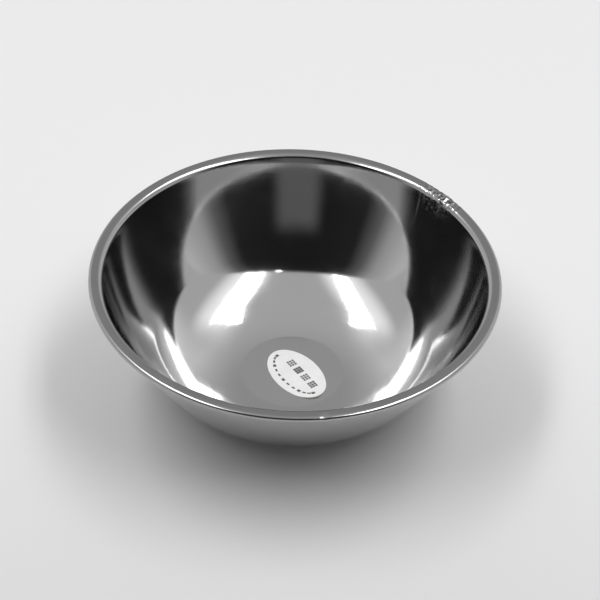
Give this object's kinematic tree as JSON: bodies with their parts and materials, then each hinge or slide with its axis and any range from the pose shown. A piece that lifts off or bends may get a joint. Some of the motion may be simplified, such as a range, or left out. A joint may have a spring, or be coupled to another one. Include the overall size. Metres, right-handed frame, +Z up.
{
  "type": "shaving bowl",
  "caption": "Small round polished stainless steel bowl with a curved, flared wall, flat base, short flat lip and curled edge, and an oval paper label stuck inside.",
  "frame": {"origin": "centre of the flat resting face under the base, on the bowl's axis", "axes": "+Z up along the bowl's axis, out of its mouth; -Y is the side nearest the viewer, where the label's lower end points"},
  "size_m": [0.115, 0.115, 0.0382],
  "materials": {
    "polished_steel": "polished stainless sheet, faint round buffing lines, a few scuffs",
    "label_adhesive": "clear dried pressure-sensitive adhesive",
    "label_paper": "white coated label paper with grey print"
  },
  "bodies": {
    "root": {"bowl_shell": "polished_steel", "label_adhesive": "label_adhesive", "label_paper": "label_paper"}
  },
  "joints": []
}
